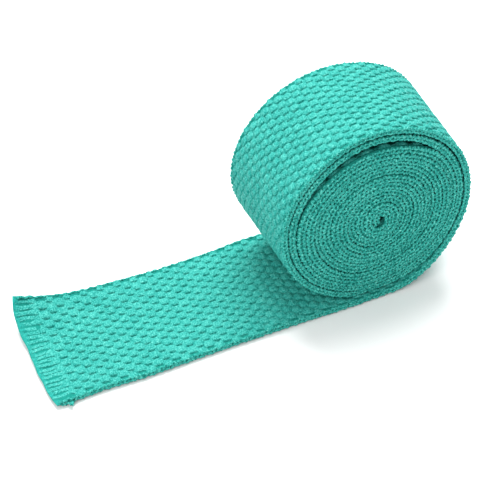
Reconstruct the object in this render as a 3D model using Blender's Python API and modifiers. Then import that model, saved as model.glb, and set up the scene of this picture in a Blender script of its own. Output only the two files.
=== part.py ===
# Roll of plain-woven webbing, lying on its own loose end.
# Metres, +Z up. The roll's axis runs along Y, and the loose end lies on z = 0 towards -X.

from collections import namedtuple
import math

import bmesh
import bpy

STRIP_WIDTH = 0.038
STRIP_THICKNESS = 0.0021
CLEARANCE = 0.0003

ROLL_X = 0.0348  # middle of the roll
ROLL_Z = 0.0296
TURN_PITCH = 0.00225  # spacing of the tight inner turns
TURNS = 12.7
STEPS = 40  # points in each turn
LIFT_OFF_ANGLE = math.radians(6)  # where the strip leaves the floor
CORE_RADIUS = 0.0246  # mean radius where the tight turns begin
CORE_TURN = 2
EYE_SHIFT_X = 0.0007  # the eye lies off the middle, and lower
EYE_SHIFT_Z = -0.0011
EYE_OVAL = 0.0004
EYE_DEPTH = 0.005
LEAN = 0.05  # sideways shift of the upper roll for each metre along its axis
LEAN_HEIGHT = 0.015

EDGE_ROUNDING = 0.0007  # how far a turn's edge falls away beside its crown
GAP_DEPTH = 2.4  # depth of a gap between turns, in gap widths
EDGE_WANDER = 0.0003  # how far the turns slide along the axis

CUT_END_X = -0.067
CURL_START_Y = -0.004
CURL_POWER = 3
SHEET_STEPS_X = 34
SHEET_STEPS_Y = 12

WEBBING_COLOUR = (0.045, 0.52, 0.43, 1)

# Outermost turn, by angle from the underside over the right side and back: radius of its
# outer face at the near and at the far end, then the slack behind the first turn and behind
# the second, in millimetres.
TurnRow = namedtuple("TurnRow", "angle near_radius far_radius first_gap second_gap")
TURN_ROWS = (
    TurnRow(0, 29.60, 29.60, 0.15, 0.15),
    TurnRow(20, 29.20, 29.40, 0.15, 0.15),
    TurnRow(45, 29.30, 29.60, 0.20, 0.15),
    TurnRow(70, 29.80, 30.20, 0.30, 0.15),
    TurnRow(100, 29.90, 31.20, 0.30, 0.20),
    TurnRow(130, 30.20, 30.20, 0.40, 0.70),
    TurnRow(160, 30.30, 28.70, 0.40, 1.60),
    TurnRow(190, 30.50, 28.50, 0.40, 2.00),
    TurnRow(220, 30.00, 29.40, 0.50, 1.60),
    TurnRow(250, 30.40, 31.00, 0.70, 1.30),
    TurnRow(275, 29.90, 31.90, 0.70, 0.70),
    TurnRow(300, 29.20, 31.30, 0.40, 0.30),
    TurnRow(320, 28.90, 29.60, 0.20, 0.15),
    TurnRow(340, 28.70, 28.90, 0.15, 0.15),
)

# Loose end, by distance from the cut: how far each edge lies from the middle line, and
# how far the far edge curls up, in millimetres.
EndRow = namedtuple("EndRow", "distance near_edge far_edge curl")
END_ROWS = (
    EndRow(0, 21.1, 20.5, 6.4),
    EndRow(3, 21.1, 20.3, 5.4),
    EndRow(9, 20.6, 19.8, 3.7),
    EndRow(15, 20.2, 19.5, 2.4),
    EndRow(21, 20.4, 19.3, 1.6),
    EndRow(28, 20.6, 19.2, 1.1),
    EndRow(36, 20.4, 19.2, 0.5),
    EndRow(44, 20.2, 19.1, 0.2),
    EndRow(60, 19.9, 19.1, 0.2),
    EndRow(75, 19.7, 19.2, 0.7),
    EndRow(90, 19.4, 19.0, 0.2),
    EndRow(106, 19.0, 19.0, 0.0),
)


def millimetres(value):
    return value / 1000


def smooth_step(value):
    value = min(max(value, 0), 1)
    return value * value * (3 - 2 * value)


def smooth_curve(places, values, place):
    """Value at a place on a smooth curve through the given values."""
    last = len(places) - 1
    left = sum(1 for start in places[1:last] if start <= place)
    width = places[left + 1] - places[left]
    along = min(max((place - places[left]) / width, 0), 1)

    def slope(i):
        before, after = max(i - 1, 0), min(i + 1, last)
        return (values[after] - values[before]) / (places[after] - places[before])

    rise = values[left + 1] - values[left]
    start = slope(left) * width
    end = slope(left + 1) * width
    cubic = (start + end - 2 * rise) * along ** 3
    square = (3 * rise - 2 * start - end) * along ** 2
    return values[left] + start * along + square + cubic


def core_share(angle):
    """0 on the two slack turns, rising to 1 at the eye."""
    return min(max((angle / math.tau - CORE_TURN) / (TURNS - CORE_TURN), 0), 1)


def turn_knots():
    """Angle, outer radius at each end and slack, at each row of every turn."""
    knots = []
    for turn in range(math.ceil(TURNS) + 1):
        for row in TURN_ROWS:
            angle = math.radians(row.angle) + turn * math.tau
            slack = (row.first_gap, row.second_gap, 0)[min(turn, CORE_TURN)]
            inward = TURN_PITCH * max(turn - CORE_TURN, 0)
            if turn > 0:
                inward += STRIP_THICKNESS + millimetres(row.first_gap)
            if turn > 1:
                inward += STRIP_THICKNESS + millimetres(row.second_gap)
            even = CORE_RADIUS - TURN_PITCH * (angle / math.tau - CORE_TURN)
            ends = [millimetres(row.near_radius) - inward, millimetres(row.far_radius) - inward]
            radii = [radius + (even - radius) * core_share(angle) for radius in ends]
            knots.append((angle, *radii, millimetres(slack)))
    return [list(column) for column in zip(*knots)]


KNOT_ANGLES, NEAR_RADII, FAR_RADII, KNOT_GAPS = turn_knots()


def outer_face(angle, side=0):
    """Where the strip's outer face lies in the XZ plane, after winding this far.

    side runs from -1 at the near end of the roll to 1 at the far end.
    """
    share = core_share(angle)
    near = smooth_curve(KNOT_ANGLES, NEAR_RADII, angle)
    far = smooth_curve(KNOT_ANGLES, FAR_RADII, angle)
    radius = near + (far - near) * (side + 1) / 2
    radius += EYE_OVAL * share * math.cos(2 * angle)
    x = ROLL_X + EYE_SHIFT_X * share + radius * math.sin(angle)
    z = ROLL_Z + EYE_SHIFT_Z * share - radius * math.cos(angle)
    floor = 0 if angle < math.pi else STRIP_THICKNESS + CLEARANCE
    if angle - LIFT_OFF_ANGLE > math.tau:
        return x, z
    # The underside is pressed flat where it rests.
    if math.cos(angle) > math.cos(LIFT_OFF_ANGLE + math.radians(2)):
        return x, floor
    return x, max(z, floor)


def leaning(x, y, z):
    return x + LEAN * y * smooth_step(z / LEAN_HEIGHT), y, z


def edge_line(angle, side):
    """Lowest point of the join between two turns on an end of the roll."""
    x, z = outer_face(angle, side)
    wander = EDGE_WANDER * math.sin(1.7 * angle / math.tau + side)
    depth = EDGE_ROUNDING
    if angle > math.tau + LIFT_OFF_ANGLE:
        depth += GAP_DEPTH * smooth_curve(KNOT_ANGLES, KNOT_GAPS, angle - math.tau)
    return leaning(x, side * (STRIP_WIDTH / 2 - depth) + wander, z)


def crown_line(angle, side):
    """Highest line of a turn's edge, half a thickness in from its outer face."""
    x, z = outer_face(angle, side)
    x -= STRIP_THICKNESS / 2 * math.sin(angle)
    z += STRIP_THICKNESS / 2 * math.cos(angle)
    wander = EDGE_WANDER * math.sin(1.7 * angle / math.tau + side)
    return leaning(x, side * STRIP_WIDTH / 2 + wander, z)


def make_roll():
    """One solid of the wound strip, with each turn's edge raised on both ends."""
    mesh = bmesh.new()
    steps = round(TURNS * STEPS)
    angles = [LIFT_OFF_ANGLE + math.tau * i / STEPS for i in range(steps + 1)]
    crowns = steps - STEPS
    outer_walls, eye_walls = [], []
    for side in (-1, 1):
        joins = [mesh.verts.new(edge_line(angle, side)) for angle in angles]
        ridge = [mesh.verts.new(crown_line(angle, side)) for angle in angles[:crowns + 1]]
        for i in range(crowns):
            mesh.faces.new((joins[i], joins[i + 1], ridge[i + 1], ridge[i]))
            inner = i + STEPS
            mesh.faces.new((ridge[i], ridge[i + 1], joins[inner + 1], joins[inner]))
        outer_walls.append(joins[:STEPS + 1] + [ridge[0]])
        eye_walls.append(joins[crowns:] + [ridge[crowns]])
    bridge(mesh, *outer_walls)
    for rim, side in zip(eye_walls, (-1, 1)):
        close_eye(mesh, rim, side)
    bmesh.ops.recalc_face_normals(mesh, faces=mesh.faces)
    return finish("roll", mesh)


def bridge(mesh, first, second):
    """Joins two closed rings of the same length."""
    for i in range(len(first)):
        following = (i + 1) % len(first)
        mesh.faces.new((first[i], first[following], second[following], second[i]))


def close_eye(mesh, rim, side):
    """Sinks the eye into one end of the roll and closes its bottom."""
    depth = side * (STRIP_WIDTH / 2 - EYE_DEPTH)
    sunk = [mesh.verts.new((vert.co.x, depth, vert.co.z)) for vert in rim]
    bridge(mesh, rim, sunk)
    mesh.faces.new(sunk)


def make_loose_end():
    """Sheet from the cut to just under the roll, its far corner curled up."""
    mesh = bmesh.new()
    bmesh.ops.create_grid(mesh, x_segments=SHEET_STEPS_X, y_segments=SHEET_STEPS_Y, size=1)
    roll_start, _ = outer_face(LIFT_OFF_ANGLE)
    length = roll_start - CLEARANCE - CUT_END_X
    distances = [millimetres(row.distance) for row in END_ROWS]

    def end_value(column, distance):
        values = [millimetres(getattr(row, column)) for row in END_ROWS]
        return smooth_curve(distances, values, distance)

    for vert in mesh.verts:
        # Stations lie closer together towards the curled end.
        distance = length * ((vert.co.x + 1) / 2) ** 1.5
        near, far = end_value("near_edge", distance), end_value("far_edge", distance)
        y = (far - near) / 2 + vert.co.y * (far + near) / 2
        curl = max((y - CURL_START_Y) / (far - CURL_START_Y), 0) ** CURL_POWER
        vert.co = (CUT_END_X + distance, y, curl * max(end_value("curl", distance), 0))
    sheet = finish("loose_end", mesh)
    solidify = sheet.modifiers.new("thickness", "SOLIDIFY")
    solidify.thickness = STRIP_THICKNESS
    solidify.offset = 1
    return sheet


def finish(name, mesh):
    """Puts a finished mesh into the scene as one named sub-part."""
    data = bpy.data.meshes.new(name)
    mesh.to_mesh(data)
    mesh.free()
    data.materials.append(webbing_material(name))
    data.shade_smooth()
    part = bpy.data.objects.new(name, data)
    collection = bpy.data.collections.get("webbing_roll") or bpy.data.collections.new("webbing_roll")
    if collection.name not in bpy.context.scene.collection.children:
        bpy.context.scene.collection.children.link(collection)
    collection.objects.link(part)
    return part


def webbing_material(name):
    material = bpy.data.materials.new(name)
    material.use_nodes = True
    shader = material.node_tree.nodes["Principled BSDF"]
    shader.inputs["Base Color"].default_value = WEBBING_COLOUR
    shader.inputs["Roughness"].default_value = 0.9
    shader.inputs["Metallic"].default_value = 0
    return material


def main():
    for old in list(bpy.data.objects):
        bpy.data.objects.remove(old, do_unlink=True)
    make_roll()
    make_loose_end()


main()
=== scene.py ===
# Roll of plain-woven webbing, lying on its own loose end.
# Each piece is made flat, as the strip comes off the loom, then laid along the strip's path.

import math

import bpy
import numpy as np
from mathutils import Matrix, Vector


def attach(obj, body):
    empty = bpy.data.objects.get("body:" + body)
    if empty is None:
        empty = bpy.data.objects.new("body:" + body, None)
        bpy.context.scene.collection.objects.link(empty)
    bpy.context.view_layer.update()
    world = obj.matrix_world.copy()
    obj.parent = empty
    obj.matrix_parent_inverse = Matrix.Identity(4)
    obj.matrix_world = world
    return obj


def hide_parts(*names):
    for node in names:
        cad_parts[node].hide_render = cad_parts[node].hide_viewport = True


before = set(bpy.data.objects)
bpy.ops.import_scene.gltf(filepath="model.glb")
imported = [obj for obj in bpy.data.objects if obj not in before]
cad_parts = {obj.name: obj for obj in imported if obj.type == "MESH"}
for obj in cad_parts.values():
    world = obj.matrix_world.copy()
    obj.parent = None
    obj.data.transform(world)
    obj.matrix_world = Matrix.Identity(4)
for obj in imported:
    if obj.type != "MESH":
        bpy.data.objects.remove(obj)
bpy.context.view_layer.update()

print("webbing roll: frame loaded")


# The strip, flat: x runs along it from the cut, y across it, z through it.

strip = {
    "width": 0.038,
    "thickness": 0.0021,
    "pickSpacing": 0.00262,  # from one weft pick to the next
    "columns": 24,           # warp yarns across
    "columnPitch": 0.00154,
}

coil = {
    "middleX": 0.0348,
    "middleZ": 0.0296,
    "turns": 11.95,
    "pitch": 0.00225,       # spacing of the tight inner turns
    "coreTurn": 2,
    "coreRadius": 0.0246,
    "lastCadTurn": 12.7,
    "eyeShiftX": 0.0007,    # the eye lies off the middle, and lower
    "eyeShiftZ": -0.0011,
    "eyeOval": 0.0004,
    "liftOff": math.radians(6),
    "flatStop": 0.0015,     # the flat run ends this far before the strip lifts off
    "clearance": 0.0003,
    "softContact": 0.00012,
    "lean": 0.05,           # sideways shift of the upper roll for each metre along its axis
    "leanHeight": 0.015,
    "edgeWander": 0.0003,
    "wanderPace": 1.7,      # radians for each turn
    "footBulge": 0.0012,    # how far the outermost turn stands out, low on its near side
    "footAngle": 0.2,
    "footSpread": 0.45,
    "step": 0.0007,         # spacing of the path's points
    # spacing of two turns, in thicknesses: up to the first value they fill the gap between
    # them, and from the second on they don't
    "outerFilling": (1.12, 1.26),
    "innerFilling": (1.4, 1.7),
    "selvedgeSplit": 0.4,   # share of the inner turns in the first of their two edge pieces
}

# Outermost turn, by angle from the underside over the right side and back: radius of its
# outer face at the near and at the far end, then the slack behind the first turn and behind
# the second, in millimetres.
turnRows = (
    {"angle": 0, "near": 29.60, "far": 29.60, "firstGap": 0.15, "secondGap": 0.15},
    {"angle": 20, "near": 29.20, "far": 29.40, "firstGap": 0.15, "secondGap": 0.15},
    {"angle": 45, "near": 29.30, "far": 29.60, "firstGap": 0.20, "secondGap": 0.15},
    {"angle": 70, "near": 29.50, "far": 30.10, "firstGap": 0.30, "secondGap": 0.15},
    {"angle": 100, "near": 29.90, "far": 31.20, "firstGap": 0.30, "secondGap": 0.20},
    {"angle": 130, "near": 30.30, "far": 30.40, "firstGap": 0.45, "secondGap": 0.70},
    {"angle": 160, "near": 30.30, "far": 28.70, "firstGap": 0.50, "secondGap": 1.60},
    {"angle": 190, "near": 30.50, "far": 28.50, "firstGap": 0.55, "secondGap": 2.00},
    {"angle": 220, "near": 30.00, "far": 29.40, "firstGap": 0.50, "secondGap": 1.40},
    {"angle": 250, "near": 30.40, "far": 31.10, "firstGap": 0.35, "secondGap": 0.80},
    {"angle": 275, "near": 30.00, "far": 32.20, "firstGap": 0.20, "secondGap": 0.30},
    {"angle": 300, "near": 29.40, "far": 31.70, "firstGap": 0.15, "secondGap": 0.15},
    {"angle": 320, "near": 29.10, "far": 30.50, "firstGap": 0.15, "secondGap": 0.15},
    {"angle": 340, "near": 28.80, "far": 29.30, "firstGap": 0.15, "secondGap": 0.15},
)

looseEnd = {
    "cutX": -0.067,
    "runUp": 0.004,          # the path starts this far before the cut
    "clothStart": 0.001,     # from the cut
    "yarnStart": 0.0004,
    "selvedgeStart": 0.0015,
    "curlStartY": -0.004,
    # the cut's bow, by powers of the side
    "cutShift": (-0.0009, 0.00018, -0.00074, -0.00028, 0.00164),
    "cutShiftFade": 0.010,
    "looseUntil": 0.0036,    # from the cut to where the first pick holds the yarns
    "looseSpread": 0.0018,
    "looseFade": 0.0038,
    "looseScale": 0.44,
}

# Loose end, by distance from the cut: how far each edge lies from the middle line, and
# how far the far edge curls up, in millimetres.
endRows = (
    {"distance": 0, "nearEdge": 21.3, "farEdge": 20.7, "curl": 6.9},
    {"distance": 3, "nearEdge": 21.3, "farEdge": 20.5, "curl": 5.8},
    {"distance": 9, "nearEdge": 20.9, "farEdge": 20.0, "curl": 3.9},
    {"distance": 15, "nearEdge": 20.7, "farEdge": 19.7, "curl": 2.5},
    {"distance": 21, "nearEdge": 20.95, "farEdge": 19.6, "curl": 1.6},
    {"distance": 28, "nearEdge": 21.15, "farEdge": 19.5, "curl": 1.1},
    {"distance": 36, "nearEdge": 20.9, "farEdge": 19.55, "curl": 0.5},
    {"distance": 44, "nearEdge": 20.65, "farEdge": 19.45, "curl": 0.2},
    {"distance": 60, "nearEdge": 20.4, "farEdge": 19.6, "curl": 0.2},
    {"distance": 75, "nearEdge": 20.35, "farEdge": 19.9, "curl": 0.9},
    {"distance": 90, "nearEdge": 20.6, "farEdge": 19.4, "curl": 0.2},
    {"distance": 106, "nearEdge": 20.2, "farEdge": 19.1, "curl": 0.0},
)


def smoothCurve(places, values, place):
    # value at a place on a smooth curve through the given values
    last = len(places) - 1
    left = sum(1 for start in places[1:last] if start <= place)
    width = places[left + 1] - places[left]
    along = min(max((place - places[left]) / width, 0), 1)

    def slope(i):
        before, after = max(i - 1, 0), min(i + 1, last)
        return (values[after] - values[before]) / (places[after] - places[before])

    rise = values[left + 1] - values[left]
    start = slope(left) * width
    end = slope(left + 1) * width
    cubic = (start + end - 2 * rise) * along ** 3
    square = (3 * rise - 2 * start - end) * along ** 2
    return values[left] + start * along + square + cubic


def coreShare(angle):
    # 0 on the two slack turns, rising to 1 at the eye
    span = coil["lastCadTurn"] - coil["coreTurn"]
    return min(max((angle / math.tau - coil["coreTurn"]) / span, 0), 1)


def turnKnots(end):
    # angle and outer radius at each row of every turn, at the near or the far end
    knots = []
    for turn in range(math.ceil(coil["lastCadTurn"]) + 1):
        for row in turnRows:
            angle = math.radians(row["angle"]) + turn * math.tau
            radius = row[end] / 1000
            if turn > 0:
                radius -= strip["thickness"] + row["firstGap"] / 1000
            if turn > 1:
                radius -= strip["thickness"] + row["secondGap"] / 1000
            radius -= coil["pitch"] * max(turn - coil["coreTurn"], 0)
            even = coil["coreRadius"] - coil["pitch"] * (angle / math.tau - coil["coreTurn"])
            knots.append((angle, radius + (even - radius) * coreShare(angle)))
    return [list(column) for column in zip(*knots)]


knotAngles, nearRadii = turnKnots("near")
farRadii = turnKnots("far")[1]


def softFloor(height, floor):
    # height, kept above the floor with a soft bend where it meets it
    soft = coil["softContact"]
    rise = (height - floor) / soft
    clear = 30  # from this rise on, the floor has no effect
    return floor + soft * (rise if rise > clear else math.log1p(math.exp(rise)))


def middleLine(angle, side=0):
    # middle of the strip's thickness in the XZ plane, after winding this far
    share = coreShare(angle)
    near = smoothCurve(knotAngles, nearRadii, angle)
    far = smoothCurve(knotAngles, farRadii, angle)
    radius = near + (far - near) * (side + 1) / 2
    radius += coil["eyeOval"] * share * math.cos(2 * angle)
    x = coil["middleX"] + coil["eyeShiftX"] * share + radius * math.sin(angle)
    z = coil["middleZ"] + coil["eyeShiftZ"] * share - radius * math.cos(angle)
    floor = 0 if angle < math.pi else strip["thickness"] + coil["clearance"]
    if angle - coil["liftOff"] <= math.tau:
        z = softFloor(z, floor)
    half = strip["thickness"] / 2
    return x - half * math.sin(angle), z + half * math.cos(angle)


def spreadOf(angle):
    # from the middle of the strip to its far edge, beyond a straight run along the axis
    near, far = middleLine(angle, -1), middleLine(angle, 1)
    return (far[0] - near[0]) / 2, 0, (far[1] - near[1]) / 2


def pathPoints():
    # the strip's whole middle line, evenly spaced, and the angle wound at each point
    start = middleLine(coil["liftOff"])
    angles = np.arange(coil["liftOff"], coil["turns"] * math.tau, math.radians(1))
    wound = np.array([middleLine(angle) for angle in angles])
    flatEnds = (looseEnd["cutX"] - looseEnd["runUp"], start[0] - coil["flatStop"])
    rough = np.vstack([[(x, start[1]) for x in flatEnds], wound])
    turned = np.concatenate([(0, 0), angles])
    gone = np.concatenate([(0,), np.cumsum(np.linalg.norm(np.diff(rough, axis=0), axis=1))])
    even = np.arange(0, gone[-1], coil["step"])
    return (
        np.column_stack([np.interp(even, gone, rough[:, 0]), np.interp(even, gone, rough[:, 1])]),
        np.interp(even, gone, turned),
        even - looseEnd["runUp"],
    )


def fillingOut(angle, way, side):
    # how much the cloth fills out towards the next turn in or out, where they nearly touch
    neighbour = angle + way * math.tau
    inmost, outmost = max(angle, neighbour), min(angle, neighbour)
    if outmost < coil["liftOff"] or inmost > coil["lastCadTurn"] * math.tau:
        return 1
    spacing = math.dist(middleLine(angle, side), middleLine(neighbour, side))
    spacing /= strip["thickness"]
    tight, slack = coil["outerFilling"] if outmost < math.tau else coil["innerFilling"]
    held = min(max((slack - spacing) / (slack - tight), 0), 1)
    return 1 + (max(spacing, 1) - 1) * held


def endValue(column, distance):
    return smoothCurve(
        [row["distance"] / 1000 for row in endRows],
        [row[column] / 1000 for row in endRows],
        max(distance, 0),
    )


def makePath():
    # the path as a chain of edges that carries what laying needs at each point
    line, turned, gone = pathPoints()
    steps = np.gradient(line, axis=0)
    steps /= np.linalg.norm(steps, axis=1)[:, None]
    half = strip["width"] / 2
    wound = turned > 0
    wander = coil["edgeWander"]
    wandered = coil["wanderPace"] * turned / math.tau
    near = np.where(wound, half - wander * np.sin(wandered - 1), 0)
    near += coil["footBulge"] * np.exp(-(((turned - coil["footAngle"]) / coil["footSpread"]) ** 2))
    far = np.where(wound, half + wander * np.sin(wandered + 1), 0)
    curl = np.zeros(len(line))
    for i in np.flatnonzero(~wound):
        near[i] = endValue("nearEdge", gone[i])
        far[i] = endValue("farEdge", gone[i])
        curl[i] = max(endValue("curl", gone[i]), 0)
    swell = {
        side: [(fillingOut(angle, 1, side), fillingOut(angle, -1, side), 0) for angle in turned]
        for side in (-1, 1)
    }
    spread = [spreadOf(angle) if angle > 0 else (0, 0, 0) for angle in turned]
    data = bpy.data.meshes.new("strip.path")
    points = [(x, 0, z) for x, z in line]
    data.from_pydata(points, [(i, i + 1) for i in range(len(points) - 1)], [])
    outward = np.column_stack([steps[:, 1], np.zeros(len(line)), -steps[:, 0]])
    for name, kind, field, values in (
        ("outward", "FLOAT_VECTOR", "vector", outward),
        ("edges", "FLOAT_VECTOR", "vector", np.column_stack([near, far, curl])),
        ("swellNear", "FLOAT_VECTOR", "vector", np.array(swell[-1])),
        ("swellFar", "FLOAT_VECTOR", "vector", np.array(swell[1])),
        ("spread", "FLOAT_VECTOR", "vector", np.array(spread)),
        ("curlSlope", "FLOAT", "value", np.gradient(curl, coil["step"])),
    ):
        data.attributes.new(name, kind, "POINT").data.foreach_set(
            field, values.astype(np.float32).ravel()
        )
    path = bpy.data.objects.new("strip.path", data)
    bpy.context.scene.collection.objects.link(path)
    path.hide_render = True
    lift = float(gone[np.argmax(wound)])
    firstTurn = float(gone[np.argmax(turned > math.tau + coil["liftOff"])])
    secondTurn = float(gone[np.argmax(turned > 2 * math.tau + coil["liftOff"])])
    return path, {"lift": lift, "first": firstTurn, "second": secondTurn, "end": float(gone[-1])}


# Wiring: a Wire is one output of a node tree, and sums of wires become math nodes.

class Wire:
    def __init__(self, tree, socket):
        self.tree = tree
        self.socket = socket

    def __add__(self, other):
        return sums("ADD", self, other)

    def __radd__(self, other):
        return sums("ADD", other, self)

    def __sub__(self, other):
        return sums("SUBTRACT", self, other)

    def __rsub__(self, other):
        return sums("SUBTRACT", other, self)

    def __mul__(self, other):
        return sums("MULTIPLY", self, other)

    def __rmul__(self, other):
        return sums("MULTIPLY", other, self)

    def __truediv__(self, other):
        return sums("DIVIDE", self, other)

    def __pow__(self, other):
        return sums("POWER", self, other)

    def __rtruediv__(self, other):
        return sums("DIVIDE", other, self)


def plug(tree, socket, value):
    if isinstance(value, Wire):
        tree.links.new(value.socket, socket)
    else:
        socket.default_value = value


def place(tree, kind, inputs=None, **settings):
    node = tree.nodes.new(kind)
    for name, value in settings.items():
        setattr(node, name, value)
    for name, value in (inputs or {}).items():
        plug(tree, node.inputs[name], value)
    return node


def output(node, name=0):
    return Wire(node.id_data, node.outputs[name])


def sums(operation, *values):
    tree = next(value.tree for value in values if isinstance(value, Wire))
    node = place(tree, "ShaderNodeMath", operation=operation)
    for socket, value in zip(node.inputs, values):
        plug(tree, socket, value)
    return output(node)


def sine(value):
    return sums("SINE", value)


def cosine(value):
    return sums("COSINE", value)


def blended(start, end, share):
    return start + (end - start) * share


def eased(value):
    # smooth step of a value, held between 0 and 1
    held = sums("MAXIMUM", sums("MINIMUM", value, 1.0), 0.0)
    return held * held * (3.0 - 2.0 * held)


def joined(tree, x, y, z):
    return output(place(tree, "ShaderNodeCombineXYZ", {0: x, 1: y, 2: z}))


def parted(vector):
    node = place(vector.tree, "ShaderNodeSeparateXYZ", {0: vector})
    return [output(node, i) for i in range(3)]


noiseSpread = 2.6  # the noise keeps near its middle, and this brings it to about -1 to 1


def patchy(tree, x, y, z, detail=1.0):
    # soft noise about 0, from -1 to 1
    noise = place(tree, "ShaderNodeTexNoise", {"Vector": joined(tree, x, y, z), "Scale": 1.0})
    noise.inputs["Detail"].default_value = detail
    return (output(noise, "Fac") - 0.5) * noiseSpread


def patches(tree, along, across, seed, paces):
    # a soft noise for each set of pace along, pace across and shift of the seed
    return [
        patchy(tree, along * pace, across * sidePace, seed + shift)
        for pace, sidePace, shift in paces
    ]


socketKinds = {int: "Int", float: "Float"}


def newTree(name, numbers, others):
    # a Geometry Nodes tree with its named inputs, and the wires that bring them in
    tree = bpy.data.node_groups.new(name, "GeometryNodeTree")
    tree.interface.new_socket("Geometry", in_out="INPUT", socket_type="NodeSocketGeometry")
    tree.interface.new_socket("Geometry", in_out="OUTPUT", socket_type="NodeSocketGeometry")
    for title, value in numbers.items():
        kind = "NodeSocket" + socketKinds[type(value)]
        socket = tree.interface.new_socket(title, in_out="INPUT", socket_type=kind)
        socket.default_value = value
    for title in others:
        tree.interface.new_socket(title, in_out="INPUT", socket_type="NodeSocket" + title)
    given = tree.nodes.new("NodeGroupInput")
    return tree, {socket.name: Wire(tree, socket) for socket in given.outputs if socket.name}


def closeTree(tree, geometry, material=None):
    if material is not None:
        realized = place(tree, "GeometryNodeRealizeInstances", {"Geometry": geometry})
        painted = place(
            tree, "GeometryNodeSetMaterial", {"Geometry": output(realized), "Material": material}
        )
        geometry = output(painted)
    taken = tree.nodes.new("NodeGroupOutput")
    plug(tree, taken.inputs["Geometry"], geometry)
    return tree


def keepAttribute(tree, geometry, name, value, kind):
    node = place(
        tree,
        "GeometryNodeStoreNamedAttribute",
        {"Geometry": geometry, "Name": name},
        data_type=kind,
        domain="POINT",
    )
    plug(tree, node.inputs["Value"], value)
    return output(node)


def readAttribute(tree, name, kind="FLOAT"):
    return output(place(tree, "GeometryNodeInputNamedAttribute", {"Name": name}, data_type=kind))


def position(tree):
    return output(place(tree, "GeometryNodeInputPosition"))


def moved(tree, geometry, x, y, z):
    spot = joined(tree, x, y, z)
    node = place(tree, "GeometryNodeSetPosition", {"Geometry": geometry, "Position": spot})
    return output(node)


def layingTree():
    # takes flat geometry to its place on the path: x along it, y across it, z out from it
    tree, given = newTree("layOnPath", {"Half width": strip["width"] / 2}, ["Object"])
    source = place(tree, "GeometryNodeObjectInfo", {"Object": given["Object"]})
    line = output(place(tree, "GeometryNodeMeshToCurve", {"Mesh": output(source, "Geometry")}))
    along, across, height = parted(position(tree))

    # the cut bows, so cloth near it is drawn along
    side = across / given["Half width"]
    share = side * 0.5 + 0.5
    bow = looseEnd["cutShift"]
    fade = 1.0 - eased(along / looseEnd["cutShiftFade"])
    shift = bow[0] + side * (bow[1] + side * (bow[2] + side * (bow[3] + side * bow[4])))
    shifted = along + shift * fade + looseEnd["runUp"]

    def sampled(name, kind="FLOAT_VECTOR"):
        node = place(
            tree, "GeometryNodeSampleCurve", {"Curves": line}, mode="LENGTH", data_type=kind
        )
        plug(tree, node.inputs["Value"], readAttribute(tree, name, kind))
        plug(tree, node.inputs["Length"], shifted)
        return node

    outwardNode = sampled("outward")
    placeX, _, placeZ = parted(output(outwardNode, "Position"))
    outX, _, outZ = parted(output(outwardNode, "Value"))
    near, far, curl = parted(output(sampled("edges"), "Value"))
    slopeAlong = output(sampled("curlSlope", "FLOAT"), "Value")

    # the far edge curls up, and the cloth's faces turn with it
    y = blended(0.0 - near, far, share)
    reach = far - looseEnd["curlStartY"]
    curled = sums("MAXIMUM", (y - looseEnd["curlStartY"]) / reach, 0.0)
    lift = curl * curled ** 3.0
    slopeAcross = 3.0 * curl * curled * curled / reach
    facing = place(tree, "ShaderNodeVectorMath", operation="NORMALIZE")
    raw = joined(tree, outX + slopeAlong * curled ** 3.0, slopeAcross, outZ)
    plug(tree, facing.inputs[0], raw)
    faceX, faceY, faceZ = parted(output(facing))

    # where turns nearly touch, the cloth fills out towards its neighbour
    nearIn, nearOut, _ = parted(output(sampled("swellNear"), "Value"))
    farIn, farOut, _ = parted(output(sampled("swellFar"), "Value"))
    above = sums("GREATER_THAN", height, 0.0)
    swell = blended(blended(nearIn, farIn, share), blended(nearOut, farOut, share), above)
    height = height * swell

    spreadX, _, spreadZ = parted(output(sampled("spread"), "Value"))
    x = placeX + spreadX * side + faceX * height
    y = y + faceY * height
    z = placeZ + spreadZ * side + lift + faceZ * height
    x = x + coil["lean"] * y * eased(z / coil["leanHeight"])
    laid = moved(tree, given["Geometry"], x, y, z)
    turned = place(tree, "GeometryNodeFlipFaces", {"Mesh": laid})
    return closeTree(tree, output(turned))


roundedCount = 1.5  # one for the first point, and half so that the rest is rounded


def copiedLines(tree, start, end, count, amount):
    # lines of this many points along x, all in one place, and the number of each
    line = place(tree, "GeometryNodeCurvePrimitiveLine")
    plug(tree, line.inputs["Start"], joined(tree, start, 0.0, 0.0))
    plug(tree, line.inputs["End"], joined(tree, end, 0.0, 0.0))
    pointed = place(tree, "GeometryNodeResampleCurve", {"Curve": output(line), "Count": count})
    copies = place(
        tree,
        "GeometryNodeDuplicateElements",
        {"Geometry": output(pointed), "Amount": amount},
        domain="SPLINE",
    )
    return output(copies), output(copies, "Duplicate Index")


def threadLines(tree, lines, spot, marks):
    # lines in their place and upright, carrying what their width and finish read
    lines = moved(tree, lines, *spot)
    for name, value in marks.items():
        lines = keepAttribute(tree, lines, name, value, "FLOAT")
    return output(place(tree, "GeometryNodeSetCurveNormal", {"Curve": lines}, mode="Z_UP"))


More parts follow.
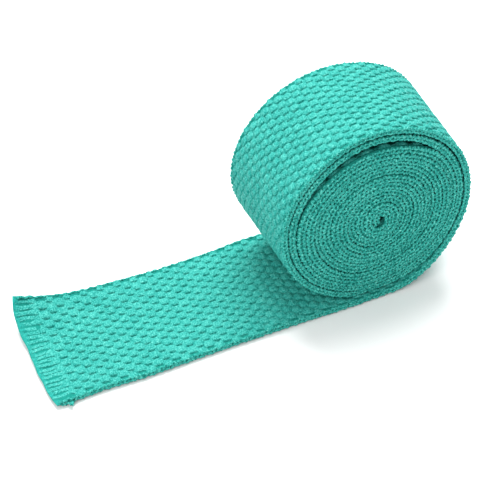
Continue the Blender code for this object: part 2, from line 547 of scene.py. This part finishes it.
def tubeOf(tree, line, sides, width, height, scale, squareness=2.0, gathering=0.0):
    # sweeps a flattened ring along a line and keeps its place around for the finish;
    # squareness 2 is an ellipse, more gives fuller shoulders, and gathering draws the
    # ring's points to the four shoulders
    ring = place(tree, "GeometryNodeCurvePrimitiveCircle", {"Resolution": sides, "Radius": 1.0})
    spot = position(tree)
    around = keepAttribute(tree, output(ring), "around", spot, "FLOAT_VECTOR")
    ringX, ringY, _ = parted(spot)
    angle = sums("ARCTAN2", ringY, ringX)
    angle = angle + sine(angle * 4.0) * gathering / 4.0
    x, y = cosine(angle), sine(angle)
    powers = sums("ABSOLUTE", x) ** squareness + sums("ABSOLUTE", y) ** squareness
    swollen = powers ** (-1.0 / squareness)
    shaped = moved(tree, around, x * swollen * width / 2.0, y * swollen * height / 2.0, 0.0)
    swept = place(
        tree,
        "GeometryNodeCurveToMesh",
        {"Curve": line, "Profile Curve": shaped, "Scale": scale, "Fill Caps": True},
    )
    return output(place(tree, "GeometryNodeSetShadeSmooth", {"Geometry": output(swept)}))


# Warp yarns: the inputs that each piece may set for itself, then what all share.

warpInputs = {
    "From": 0.0,
    "To": 0.1,
    "Columns": strip["columns"],
    "Column pitch": strip["columnPitch"],
    "Pick spacing": strip["pickSpacing"],
    "Steps per pick": 4.0,
    "Sides": 8,
    "Rise": 0.00036,
    "Slant": 0.00013,
    "Yarn width": 0.00255,
    "Yarn height": 0.00146,
    "Squareness": 2.0,
    "Gathering": 0.0,
    "Crossing width": 0.80,
    "Outermost width": 0.70,
    "Loose until": -1.0,
    "Unevenness": 0.00013,
    "First bare column": 99,   # up to the last one, columns that other turns hide
    "Last bare column": 99,
    "Seed": 3.0,
}

warpShape = {
    "flatTop": 0.12,           # flattens the wave's crests
    # loftiness, swerve, fullness and ripple: pace by pick, pace by column, shift of the seed
    "paces": ((0.5, 5.3, 0.0), (0.45, 3.7, 20.0), (0.4, 4.9, 40.0), (0.08, 0.2, 60.0)),
    # times the unevenness
    "loft": 0.9,
    "rippleLoft": 0.5,
    "looseLoft": 2.0,
    "swerve": 1.8,
    "looseSwerve": 4.2,
    "slide": 3.0,
    "fullness": 0.09,          # times the yarn's width
    "fibreShift": 0.013,       # so that no two columns have the same fibres
}


def warpTree():
    # the yarns that run along the strip, over one pick and under the next
    tree, given = newTree("warpYarns", warpInputs, ["Material"])
    length = given["To"] - given["From"]
    count = length / given["Pick spacing"] * given["Steps per pick"] + roundedCount
    copies, column = copiedLines(tree, given["From"], given["To"], count, given["Columns"])
    after = sums("GREATER_THAN", column, given["First bare column"] - 0.5)
    before = sums("LESS_THAN", column, given["Last bare column"] + 0.5)
    kept = place(
        tree,
        "GeometryNodeDeleteGeometry",
        {"Geometry": copies, "Selection": after * before},
        domain="CURVE",
    )
    along = parted(position(tree))[0]
    pick = along / given["Pick spacing"]
    phase = (pick + column) * math.pi
    flat = warpShape["flatTop"]
    wave = (cosine(phase) - flat * cosine(phase * 3.0)) / (1.0 - flat)
    uneven = given["Unevenness"]
    loftiness, swerve, fullness, ripple = patches(
        tree, pick, column, given["Seed"], warpShape["paces"]
    )

    # behind the sealed end they lie level, side by side, until the first pick
    first = given["Loose until"] + fullness * looseEnd["looseSpread"]
    woven = eased((along - first) / looseEnd["looseFade"])
    loft = loftiness * warpShape["loft"] + ripple * warpShape["rippleLoft"]
    loft = loft + loftiness * warpShape["looseLoft"] * (1.0 - woven)
    z = given["Rise"] * wave * woven + loft * uneven
    middleColumn = (given["Columns"] - 1.0) * 0.5
    swerving = swerve * uneven * blended(warpShape["looseSwerve"], warpShape["swerve"], woven)
    y = (column - middleColumn) * given["Column pitch"] + swerving
    y = y + given["Slant"] * sine(phase) * woven
    x = along + ripple * uneven * warpShape["slide"]

    flank = 1.0 - sums("ABSOLUTE", cosine(phase))
    marks = {
        "along": along + column * warpShape["fibreShift"],
        # crest sets the yarn's width at the crossings, and also the painted shade of its sunken
        # parts
        "crest": 1.0 - flank * flank,
        "tone": fullness,
        "woven": woven,
    }
    upright = threadLines(tree, output(kept), (x, y, z), marks)
    scale = blended(given["Crossing width"], 1.0, readAttribute(tree, "crest"))
    scale = blended(looseEnd["looseScale"], scale, readAttribute(tree, "woven"))
    scale = scale * (1.0 + warpShape["fullness"] * readAttribute(tree, "tone"))
    outermost = sums("GREATER_THAN", sums("ABSOLUTE", column - middleColumn), middleColumn - 0.5)
    scale = scale * blended(1.0, given["Outermost width"], outermost)
    tube = tubeOf(
        tree, upright, given["Sides"], given["Yarn width"], given["Yarn height"], scale,
        given["Squareness"], given["Gathering"],
    )
    return closeTree(tree, tube, given["Material"])


# Turns of the weft on the selvedges: the inputs that each piece may set, then what all share.

edgeInputs = {
    "From": 0.0,
    "To": 0.1,
    "Turn pitch": strip["pickSpacing"] / 2,
    "Steps per turn": 6.0,
    "Sides": 6,
    "Swing": 0.00022,
    "Row height": 0.00056,
    "Edge": 0.01872,
    "Shoulder": 0.00045,
    "Depth": 0.00066,
    "Thread": 0.00075,
    "Unevenness": 0.00016,
    "Seed": 5.0,
}

edgeShape = {
    "rowLean": 0.6,            # this and the lap are times the swing
    "lap": 0.5,
    "lapStart": 0.4,
    "drift": 0.5,              # in turns
    "driftPace": 0.25,
    "driftSeed": 60.0,
    "rowApart": 3.0,           # so that no two threads drift alike
    "sideApart": 7.0,
    # shift, rise and bulge: pace by turn, pace by thread, shift of the seed
    "paces": ((0.9, 6.1, 0.0), (0.8, 4.3, 20.0), (0.8, 3.1, 40.0)),
    "fullness": 0.22,          # times the thread's width
    "fibrePace": 3.0,
    "fibreShift": 0.017,
}


def edgeTree():
    # the weft's turns on each selvedge: an upper and a lower row that zigzag apart and together
    tree, given = newTree("edgeTurns", edgeInputs, ["Material"])
    length = given["To"] - given["From"]
    count = length / given["Turn pitch"] * given["Steps per turn"] + roundedCount
    copies, thread = copiedLines(tree, given["From"], given["To"], count, 4)
    side = sums("FLOORED_MODULO", thread, 2.0) * 2.0 - 1.0
    row = sums("GREATER_THAN", thread, 1.5) * 2.0 - 1.0
    along = parted(position(tree))[0]
    turn = along / given["Turn pitch"]
    seed, uneven, swing = given["Seed"], given["Unevenness"], given["Swing"]
    apart = row * edgeShape["rowApart"] + side * edgeShape["sideApart"]
    drift = patchy(tree, turn * edgeShape["driftPace"], apart, seed + edgeShape["driftSeed"])
    phase = (turn + drift * edgeShape["drift"]) * math.tau
    shift, rise, bulge = patches(tree, turn, thread, seed, edgeShape["paces"])
    x = along - row * edgeShape["rowLean"] * swing * sine(phase) + shift * uneven
    z = row * (given["Row height"] + swing * cosine(phase)) + rise * uneven
    lap = swing * edgeShape["lap"] * cosine(phase * 0.5 + edgeShape["lapStart"])
    bend = z / (strip["thickness"] / 2)
    y = side * (given["Edge"] - given["Shoulder"] * bend * bend + lap + bulge * uneven)
    marks = {
        "along": along * edgeShape["fibrePace"] + thread * edgeShape["fibreShift"],
        # crest here feeds only the painted shade, darker and lighter along each turn
        "crest": 0.5 + 0.5 * sine(phase),
        "tone": bulge,
    }
    upright = threadLines(tree, copies, (x, y, z), marks)
    scale = 1.0 + edgeShape["fullness"] * readAttribute(tree, "tone")
    tube = tubeOf(tree, upright, given["Sides"], given["Depth"], given["Thread"], scale)
    return closeTree(tree, tube, given["Material"])


# Loose thread ends that stick out past the near edge, beside the cut.

tuftInputs = {
    "Threads": 5,
    "At": 0.0042,
    "Gather": 0.00042,
    "From edge": 0.0182,
    "Reach": 0.0022,
    "Thread": 0.000465,
    "Seed": 4.0,
}

tuftShape = {
    "points": 9,
    "sides": 8,
    # length, swerve and rise: pace by thread, pace along it, shift of the seed
    "paces": ((7.3, 0.0, 0.0), (5.1, 1.3, 20.0), (3.7, 1.1, 40.0)),
    "lengthSpread": 0.5,
    "closing": 0.45,           # how much the threads draw together
    "trail": 0.0004,           # towards the cut
    "swerve": 0.0002,
    "height": 0.0002,
    "rise": 0.0003,
    "droop": 0.0005,
    # a low crest: painted shade that keeps the loose threads a little darker
    "crest": 0.3,
    "fibreShift": 0.013,
}


def tuftTree():
    tree, given = newTree("looseTuft", tuftInputs, ["Material"])
    copies, thread = copiedLines(tree, 0.0, 1.0, tuftShape["points"], given["Threads"])
    gone = parted(position(tree))[0]
    longer, swerve, rise = patches(tree, thread, gone, given["Seed"], tuftShape["paces"])
    length = given["Reach"] * (1.0 + tuftShape["lengthSpread"] * longer)
    fan = (thread - (given["Threads"] - 1.0) * 0.5) * given["Gather"]
    x = given["At"] + fan * (1.0 - tuftShape["closing"] * gone) - tuftShape["trail"] * gone
    x = x + swerve * tuftShape["swerve"]
    y = 0.0 - given["From edge"] - length * gone
    z = tuftShape["height"] + tuftShape["rise"] * rise - tuftShape["droop"] * gone * gone
    marks = {
        "along": thread * tuftShape["fibreShift"],
        "crest": tuftShape["crest"],
        "tone": swerve,
    }
    upright = threadLines(tree, copies, (x, y, z), marks)
    tube = tubeOf(tree, upright, tuftShape["sides"], given["Thread"], given["Thread"], 1.0)
    return closeTree(tree, tube, given["Material"])


def setInputs(modifier, values):
    for item in modifier.node_group.interface.items_tree:
        if item.item_type == "SOCKET" and item.in_out == "INPUT" and item.name in values:
            modifier[item.identifier] = values[item.name]


def grown(name, data, recipes):
    # a plain mesh object from a start mesh and a list of (tree, its inputs)
    source = bpy.data.objects.new(name + ".source", data)
    bpy.context.scene.collection.objects.link(source)
    for tree, values in recipes:
        modifier = source.modifiers.new(tree.name, "NODES")
        modifier.node_group = tree
        setInputs(modifier, values)
    graph = bpy.context.evaluated_depsgraph_get()
    mesh = bpy.data.meshes.new_from_object(
        source.evaluated_get(graph), preserve_all_data_layers=True, depsgraph=graph
    )
    mesh.name = name
    bpy.data.objects.remove(source)
    piece = bpy.data.objects.new(name, mesh)
    bpy.context.scene.collection.objects.link(piece)
    print(f"  {name}: {sum(len(face.vertices) - 2 for face in mesh.polygons)} triangles")
    return piece


# Finishes

yarnFinish = {
    "colour": (0.029, 0.314, 0.271, 1),
    "roughness": 0.62,
    "specular": 0.08,
    "bump": 0.00016,
    "bumpStrength": 0.8,
    "twist": 2600.0,     # radians of ply for each metre
    "variation": 0.16,
    "redPowerByShade": 3.0,     # red follows the shade more steeply: lighter fibres and painted-lit crests read paler, darker fibres and painted shade in the sunken parts more saturated
}
# a lighter copy of the yarn's colour: painted light that brightens the roll's end face and the
# selvedges
litThreadFinish = dict(yarnFinish, colour=(0.031, 0.345, 0.292, 1), variation=0.2)

fibreShape = {
    "streaks": 5.0,      # round the yarn
    "streakPace": 900.0,
    "streakDetail": 3.0,
    "patchScale": 140.0,
    "speckScale": 2600.0,
    "height": {"plies": 0.2, "fibres": 0.25, "specks": 0.6},
    # in the shade, plies and crest are painted shade and light; fibres, specks, tone and patches
    # are the yarn's own uneven colour
    "shade": {
        "fibres": 0.4, "plies": 0.25, "specks": 6.0, "tone": 0.5, "patches": 0.6, "crest": 0.5
    },
    # crest at which the painted crest shade is neither darker nor lighter
    "unshadedCrest": 0.6,
}


def yarnGroup():
    # spun fibres: streaks that wind round the yarn, painted shade between the plies, and painted
    # shade where the yarn sinks with painted light on its crests
    tree = bpy.data.node_groups.new("spunFibres", "ShaderNodeTree")
    for title in ("Twist", "Variation"):
        tree.interface.new_socket(title, in_out="INPUT", socket_type="NodeSocketFloat")
    for title in ("Height", "Shade"):
        tree.interface.new_socket(title, in_out="OUTPUT", socket_type="NodeSocketFloat")
    given = tree.nodes.new("NodeGroupInput")

    def read(name, part="Fac"):
        return output(place(tree, "ShaderNodeAttribute", attribute_name=name), part)

    def noise(scale):
        spot = output(place(tree, "ShaderNodeTexCoord"), "Object")
        node = place(tree, "ShaderNodeTexNoise", {"Vector": spot, "Scale": scale})
        return output(node, "Fac") - 0.5

    roundX, roundY, _ = parted(read("around", "Vector"))
    along = read("along")
    angle = sums("ARCTAN2", roundY, roundX) + along * output(given, "Twist")
    streaks = fibreShape["streaks"]
    made = {
        "fibres": patchy(
            tree,
            cosine(angle) * streaks,
            sine(angle) * streaks,
            along * fibreShape["streakPace"],
            fibreShape["streakDetail"],
        ),
        "plies": sine(angle * 2.0),
        "specks": noise(fibreShape["speckScale"]) * noiseSpread,
        "tone": read("tone"),
        "patches": noise(fibreShape["patchScale"]) * 2.0,
        # painted shade: darker where the yarn dips under the weft, lighter on its crests
        "crest": read("crest") - fibreShape["unshadedCrest"],
    }

    def weighed(weights):
        total = 0.0
        for name, weight in weights.items():
            total = made[name] * weight + total
        return total

    taken = tree.nodes.new("NodeGroupOutput")
    plug(tree, taken.inputs["Height"], 0.5 + weighed(fibreShape["height"]))
    shade = 1.0 + weighed(fibreShape["shade"]) * output(given, "Variation")
    plug(tree, taken.inputs["Shade"], shade)
    return tree


def newMaterial(name, finish):
    material = bpy.data.materials.new(name)
    material.use_nodes = True
    shader = material.node_tree.nodes["Principled BSDF"]
    shader.inputs["Roughness"].default_value = finish["roughness"]
    shader.inputs["Specular IOR Level"].default_value = finish["specular"]
    return material, material.node_tree, shader


def paint(tree, shader, finish, shades, height):
    # the colour by a shade for each of red, green and blue, and the bump
    mixed = place(tree, "ShaderNodeCombineColor")
    for socket, shade, amount in zip(mixed.inputs, shades, finish["colour"]):
        plug(tree, socket, shade * amount)
    tree.links.new(mixed.outputs[0], shader.inputs["Base Color"])
    bump = place(tree, "ShaderNodeBump", {"Height": height, "Distance": finish["bump"]})
    bump.inputs["Strength"].default_value = finish["bumpStrength"]
    tree.links.new(bump.outputs["Normal"], shader.inputs["Normal"])


def yarnMaterial(name, group, finish):
    material, tree, shader = newMaterial(name, finish)
    fibres = place(tree, "ShaderNodeGroup", node_tree=group)
    fibres.inputs["Twist"].default_value = finish["twist"]
    fibres.inputs["Variation"].default_value = finish["variation"]
    shade = output(fibres, "Shade")
    shades = (shade ** finish["redPowerByShade"], shade, shade)
    paint(tree, shader, finish, shades, output(fibres, "Height"))
    return material


def mottledMaterial(name, finish):
    material, tree, shader = newMaterial(name, finish)
    spot = output(place(tree, "ShaderNodeTexCoord"), "Object")
    noise = place(tree, "ShaderNodeTexNoise", {"Vector": spot, "Scale": finish["scale"]})
    height = output(noise, "Fac")
    shade = (height - 0.5) * finish["contrast"] + 1.0
    paint(tree, shader, finish, (shade, shade, shade), height)
    return material


def ringMesh(name, points, rings):
    # a closed mesh from rings of points, one after another, capped at both ends
    sides = len(points) // rings
    faces = [tuple(reversed(range(sides)))]
    for i in range(rings - 1):
        here, after = i * sides, (i + 1) * sides
        for j in range(sides):
            k = (j + 1) % sides
            faces.append((here + j, here + k, after + k, after + j))
    faces.append(tuple((rings - 1) * sides + j for j in range(sides)))
    data = bpy.data.meshes.new(name)
    data.from_pydata(points, [], faces)
    data.shade_smooth()
    return data


# The ground: the weft picks inside the cloth, as one closed ribbed sheet.

ground = {
    "halfWidth": 0.01855,
    "ribbedHalfWidth": 0.0173,
    "pickThickness": 0.00062,
    "valleyThickness": 0.00034,
    "stationsPerPick": 4,
    "looseEndAcross": 16,
    "rollAcross": 1,
    "rim": ((0.0177, 0.00062), (0.01835, 0.00055)),  # y and half height
    "fullRim": 1.5,       # between the tight inner turns
    "rimFade": 0.004,
    "thinUntil": 0.006,   # from the cut, where no pick fills it
    "thinShare": 0.15,
}

# darker than the yarn: painted shade in the slits and pits between the yarns, where the ground
# shows
groundPaintedShadeFinish = {
    "colour": (0.010, 0.20, 0.165, 1),
    "roughness": 0.95,
    "specular": 0.05,
    "scale": 2200.0,
    "contrast": 0.6,
    "bump": 0.0001,
    "bumpStrength": 1.0,
}


def groundMesh(name, start, end, across, full):
    # a closed ribbon, thicker at each pick, its rim thicker from a place on
    count = round((end - start) / strip["pickSpacing"] * ground["stationsPerPick"]) + 1
    places = np.linspace(start, end, count)
    picks = 0.5 + 0.5 * np.cos(math.tau * places / strip["pickSpacing"])
    thin, thick = ground["valleyThickness"] / 2, ground["pickThickness"] / 2
    ribs = thin + (thick - thin) * picks
    shares = np.clip(places / ground["thinUntil"], ground["thinShare"], 1)
    fuller = np.interp(places, (full - ground["rimFade"], full), (1, ground["fullRim"]))

    # the ring of each station: y, half height where the rim gives it, and up or down
    outer, inner = ground["halfWidth"], ground["ribbedHalfWidth"]
    ribbed = [(y, None) for y in np.linspace(-inner, inner, across + 1)]
    row = [(-y, high) for y, high in reversed(ground["rim"])] + ribbed + list(ground["rim"])
    ring = [
        (-outer, 0, 1),
        *((y, high, -1) for y, high in row),
        (outer, 0, 1),
        *((y, high, 1) for y, high in reversed(row)),
    ]
    points = [
        (x, y, way * (rib if high is None else high * more) * share)
        for x, rib, share, more in zip(places, ribs, shares, fuller)
        for y, high, way in ring
    ]
    return ringMesh(name, points, count)


# The sealed cut: fused yarns as one flat slab, its front rounded and slightly wavy.

sealedEnd = {
    "length": 0.0017,
    "halfWidth": 0.0190,
    "halfThickness": 0.00010,
    "cutHalfThickness": 0.00044,
    "rounding": 0.0005,
    "corner": 0.0006,
    "wave": 0.00035,
    "waves": 6,
    "wavePace": 3.1,        # radians to the corner, in the longest wave
    "rib": 0.00016,
    "lump": 0.00014,
    "stationsPerYarn": 4,
    "stationsAlong": 12,
    "crowding": 1.6,        # of the stations towards the cut
    "seed": 11,
}

sealedFinish = {
    "colour": (0.012, 0.275, 0.235, 1),
    "roughness": 0.7,
    "specular": 0.12,
    "scale": 2600.0,
    "contrast": 1.4,
    "bump": 0.00015,
    "bumpStrength": 1.0,
}


def bandMesh(name):
    rows = strip["columns"] * sealedEnd["stationsPerYarn"] + 1
    half = sealedEnd["halfWidth"]
    chance = np.random.default_rng(sealedEnd["seed"])
    waves = [
        (chance.uniform(0.3, 1), chance.uniform(0, math.tau)) for _ in range(sealedEnd["waves"])
    ]
    steps = np.linspace(0, 1, sealedEnd["stationsAlong"]) ** sealedEnd["crowding"]
    points = []
    for y in np.linspace(-half, half, rows):
        front = sum(
            high * math.sin(y / half * sealedEnd["wavePace"] * (i + 1) + start) / (i + 1)
            for i, (high, start) in enumerate(waves)
        )
        ribbing = math.cos(math.tau * y / strip["columnPitch"] + math.pi)
        corner = math.sqrt(min((half - abs(y)) / sealedEnd["corner"], 1))
        ring = []
        for step in steps:
            x = step * sealedEnd["length"]
            bend = min(x / sealedEnd["rounding"], 1)
            rounded = math.sqrt(max(bend * (2 - bend), 0))
            thick = sealedEnd["cutHalfThickness"]
            thick += (sealedEnd["halfThickness"] - thick) * step
            thick += sealedEnd["rib"] * ribbing * step
            thick += sealedEnd["lump"] * chance.normal()
            x += front * sealedEnd["wave"] * (1 - step)
            ring.append((x, y, thick * rounded * corner))
        points += ring + [(x, y, -z) for x, y, z in reversed(ring[1:])]
    return ringMesh(name, points, rows)


def makeStrip(path, marks, laying):
    warp, turns = warpTree(), edgeTree()
    fibres = yarnGroup()
    yarn = yarnMaterial("webbingYarn", fibres, yarnFinish)
    thread = yarnMaterial("selvedgeThreadPaintedLight", fibres, litThreadFinish)
    # the ground's darker colour paints shade where it shows between the yarns
    inside = mottledMaterial("groundWeavePaintedShade", groundPaintedShadeFinish)
    lay = (laying, {"Object": path})
    pieces = {}

    def bare(name):
        return bpy.data.meshes.new(name + ".start")

    def yarns(name, start, end, **more):
        values = {"From": start, "To": end, "Material": yarn, **more}
        pieces[name] = grown(name, bare(name), [(warp, values), lay])

    def edges(name, start, end, **more):
        values = {"From": start, "To": end, "Material": thread, **more}
        pieces[name] = grown(name, bare(name), [(turns, values), lay])

    def body(name, start, end, across):
        flat = groundMesh(name + ".start", start, end, across, marks["second"])
        pieces[name] = grown(name, flat, [lay])
        pieces[name].data.materials.append(inside)

    print("loose end")
    fine = {"Sides": 16, "Squareness": 4.0, "Gathering": 1.0}
    loose = {"Loose until": looseEnd["looseUntil"]}
    full = {"Row height": 0.00048, "Thread": 0.00078}
    body("looseEndCloth", looseEnd["clothStart"], marks["lift"], ground["looseEndAcross"])
    pieces["sealedEnd"] = grown("sealedEnd", bandMesh("sealedEnd.start"), [lay])
    sealed = mottledMaterial("sealedWebbing", sealedFinish)
    pieces["sealedEnd"].data.materials.append(sealed)
    yarns("looseEndYarns", looseEnd["yarnStart"], marks["lift"], **fine, **loose)
    edges("looseEndSelvedge", looseEnd["selvedgeStart"], marks["lift"], **full)
    tuft = (tuftTree(), {"Material": thread})
    pieces["looseTuft"] = grown("looseTuft", bare("looseTuft"), [tuft, lay])

    print("roll")
    body("rollCloth", marks["lift"], marks["end"], ground["rollAcross"])
    # the outermost turn is two pieces, parted at a tenth of a millimetre, to keep each light
    half = marks["lift"] + round((marks["first"] - marks["lift"]) / 2, 4)
    yarns("outerTurnYarns", marks["lift"], half, **fine)
    yarns("outerTurnBackYarns", half, marks["first"], **fine)
    last = strip["columns"] - 1
    hidden = {"First bare column": 4, "Last bare column": last - 4, "Outermost width": 0.55}
    yarns("secondTurnYarns", marks["first"], marks["second"], **hidden)
    hidden.update({"First bare column": 2, "Last bare column": last - 2})
    yarns("innerTurnYarns", marks["second"], marks["end"], **hidden)
    middle = marks["second"] + (marks["end"] - marks["second"]) * coil["selvedgeSplit"]
    edges("outerTurnSelvedge", marks["lift"], marks["second"], **full)
    level = {"Shoulder": 0.00015, "Swing": 0.00026, "Unevenness": 0.0002}
    edges("middleTurnSelvedge", marks["second"], middle, **level)
    edges("innerTurnSelvedge", middle, marks["end"], **level)
    return pieces


def declare(pieces):
    for piece in pieces.values():
        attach(piece, "root")
    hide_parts("loose_end")
    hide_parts("roll")


# Surroundings

camera = {
    "azimuth": -20.215,
    "elevation": 40.725,
    "roll": -4.240,
    "distance": 0.45836,
    "lens": 113.67,
    "sensor": 36,
    "nearClip": 0.02,
    "farClip": 20,
    "target": (0.000355, -0.002527, 0.018068),
}


def makeCamera():
    azimuth, elevation, roll = (
        math.radians(camera[name]) for name in ("azimuth", "elevation", "roll")
    )
    back = Vector((
        math.sin(azimuth) * math.cos(elevation),
        -math.cos(azimuth) * math.cos(elevation),
        math.sin(elevation),
    ))
    right = Vector((0, 0, 1)).cross(back).normalized()
    up = back.cross(right)
    turnedRight = right * math.cos(roll) + up * math.sin(roll)
    turnedUp = up * math.cos(roll) - right * math.sin(roll)
    data = bpy.data.cameras.new("camera")
    data.lens = camera["lens"]
    data.sensor_width = camera["sensor"]
    data.clip_start = camera["nearClip"]
    data.clip_end = camera["farClip"]
    eye = bpy.data.objects.new("camera", data)
    rotation = Matrix((turnedRight, turnedUp, back)).transposed().to_4x4()
    spot = Vector(camera["target"]) + back * camera["distance"]
    eye.matrix_world = Matrix.Translation(spot) @ rotation
    bpy.context.scene.collection.objects.link(eye)
    bpy.context.scene.camera = eye


lighting = {
    "keyPlace": (0.22, 0.49, 0.95),
    "keySize": 0.85,
    "keyPower": 21.4,
    "fillPlace": (-0.68, -0.60, 0.72),
    "fillSize": 1.1,
    "fillPower": 8.8,
    "aim": (0.01, 0, 0.02),
    "sky": 0.73,
}

floorFinish = {
    "halfSize": 4,
    "colour": (0.82, 0.82, 0.82, 1),
    "roughness": 0.9,
    "specular": 0.1,
}


def makeLight(name, spot, size, power):
    data = bpy.data.lights.new(name, "AREA")
    data.shape = "DISK"
    data.size = size
    data.energy = power
    lamp = bpy.data.objects.new(name, data)
    lamp.location = spot
    direction = Vector(lighting["aim"]) - Vector(spot)
    lamp.rotation_euler = direction.to_track_quat("-Z", "Y").to_euler()
    bpy.context.scene.collection.objects.link(lamp)


def makeStudio():
    makeLight("key", lighting["keyPlace"], lighting["keySize"], lighting["keyPower"])
    makeLight("fill", lighting["fillPlace"], lighting["fillSize"], lighting["fillPower"])
    world = bpy.data.worlds.new("studio")
    world.use_nodes = True
    sky = world.node_tree.nodes["Background"]
    sky.inputs["Color"].default_value = (1, 1, 1, 1)
    sky.inputs["Strength"].default_value = lighting["sky"]
    bpy.context.scene.world = world
    bpy.context.scene.view_settings.view_transform = "Standard"


def makeFloor():
    data = bpy.data.meshes.new("floor")
    size = floorFinish["halfSize"]
    data.from_pydata(
        [(-size, -size, 0), (size, -size, 0), (size, size, 0), (-size, size, 0)],
        [],
        [(0, 1, 2, 3)],
    )
    material, _, shader = newMaterial("paleFloor", floorFinish)
    shader.inputs["Base Color"].default_value = floorFinish["colour"]
    data.materials.append(material)
    floor = bpy.data.objects.new("floor", data)
    bpy.context.scene.collection.objects.link(floor)


path, marks = makePath()
pieces = makeStrip(path, marks, layingTree())
bpy.data.objects.remove(path)
declare(pieces)
makeCamera()
makeStudio()
makeFloor()
print("webbing roll: done")
